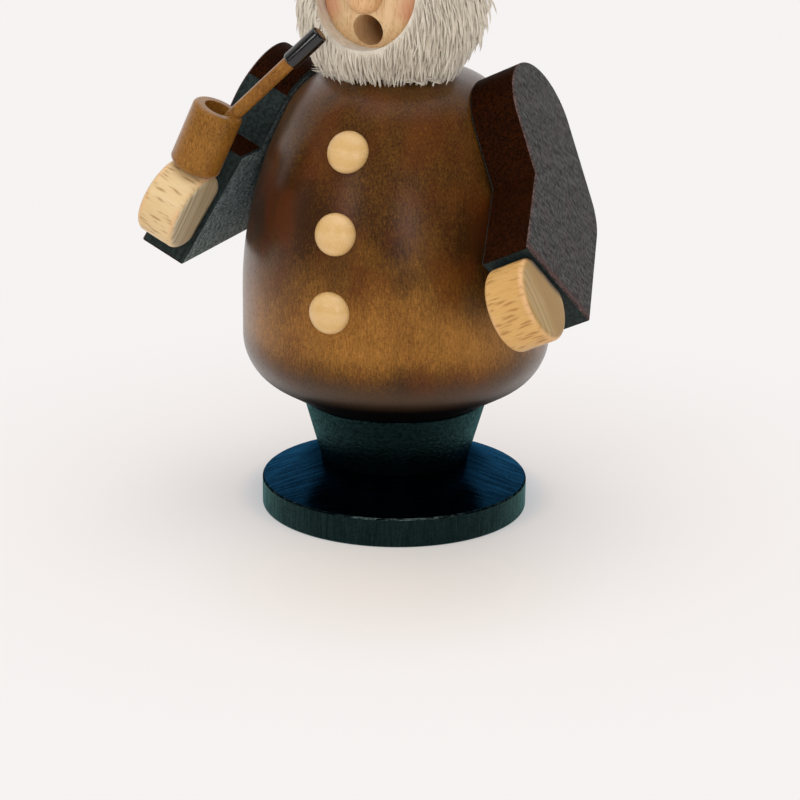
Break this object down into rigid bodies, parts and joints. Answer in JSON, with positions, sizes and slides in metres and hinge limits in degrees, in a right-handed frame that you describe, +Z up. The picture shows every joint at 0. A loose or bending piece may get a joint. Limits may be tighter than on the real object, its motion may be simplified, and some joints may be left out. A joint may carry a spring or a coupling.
{
  "type": "german incense smoker",
  "caption": "Turned wooden smoker figure on a round foot: hollow body lifts off a metal incense plate, smoke leaves by the mouth, board sleeves hold drum hands.",
  "frame": {"origin": "centre of the foot's flat underside", "axes": "+Z up along the turned body's axis, the figure faces -Y, its left hand is on the +X side"},
  "size_m": [0.1186, 0.0923, 0.1866],
  "materials": {
    "black_stained_wood": "black stain under satin lacquer, turned",
    "brown_stained_wood": "warm brown stain, satin lacquer, turned",
    "dark_stained_wood": "dark red-brown stain on sawn board, black end grain",
    "beech": "natural beech, satin lacquer",
    "dowel_wood": "bare beech dowel",
    "head_wood": "natural limewood, satin lacquer",
    "eye_paint": "black gloss paint",
    "beard_wood": "whitened limewood, combed",
    "hat_wood": "black stain under satin lacquer, turned",
    "band_wood": "warm brown stain, satin lacquer",
    "plate_brass": "pressed brass, dulled by heat",
    "pipe_wood": "brown stain, satin lacquer",
    "pipe_tip": "black stain, satin lacquer"
  },
  "bodies": {
    "base": {"foot_disc": "black_stained_wood", "plinth": "black_stained_wood", "base_dowel": "dowel_wood", "incense_plate": "plate_brass", "plate_tacks": "plate_brass"},
    "torso": {"beard": "beard_wood", "button_lower": "beech", "button_middle": "beech", "button_upper": "beech", "hat_band": "band_wood", "hat_brim": "hat_wood", "hat_crown": "hat_wood", "hat_dowel": "dowel_wood", "head": "head_wood", "left_arm": "dark_stained_wood", "left_arm_dowel": "dowel_wood", "left_eye": "eye_paint", "left_hand": "beech", "left_hand_dowel": "dowel_wood", "neck_tube": "dowel_wood", "nose": "head_wood", "right_arm": "dark_stained_wood", "right_arm_dowel": "dowel_wood", "right_eye": "eye_paint", "right_hand": "beech", "right_hand_dowel": "dowel_wood", "torso_shell": "brown_stained_wood"},
    "pipe": {"pipe_bowl": "pipe_wood", "pipe_stem": "pipe_wood", "pipe_mouthpiece": "pipe_tip"}
  },
  "joints": [
    {"name": "torso_lift", "type": "slide", "parent": "base", "child": "torso", "axis": [0, 0, 1], "range_m": [0, 0.06]},
    {"name": "pipe_pull", "type": "slide", "parent": "torso", "child": "pipe", "axis": [0.4305, 0, 0.9026], "range_m": [0, 0.014]}
  ]
}
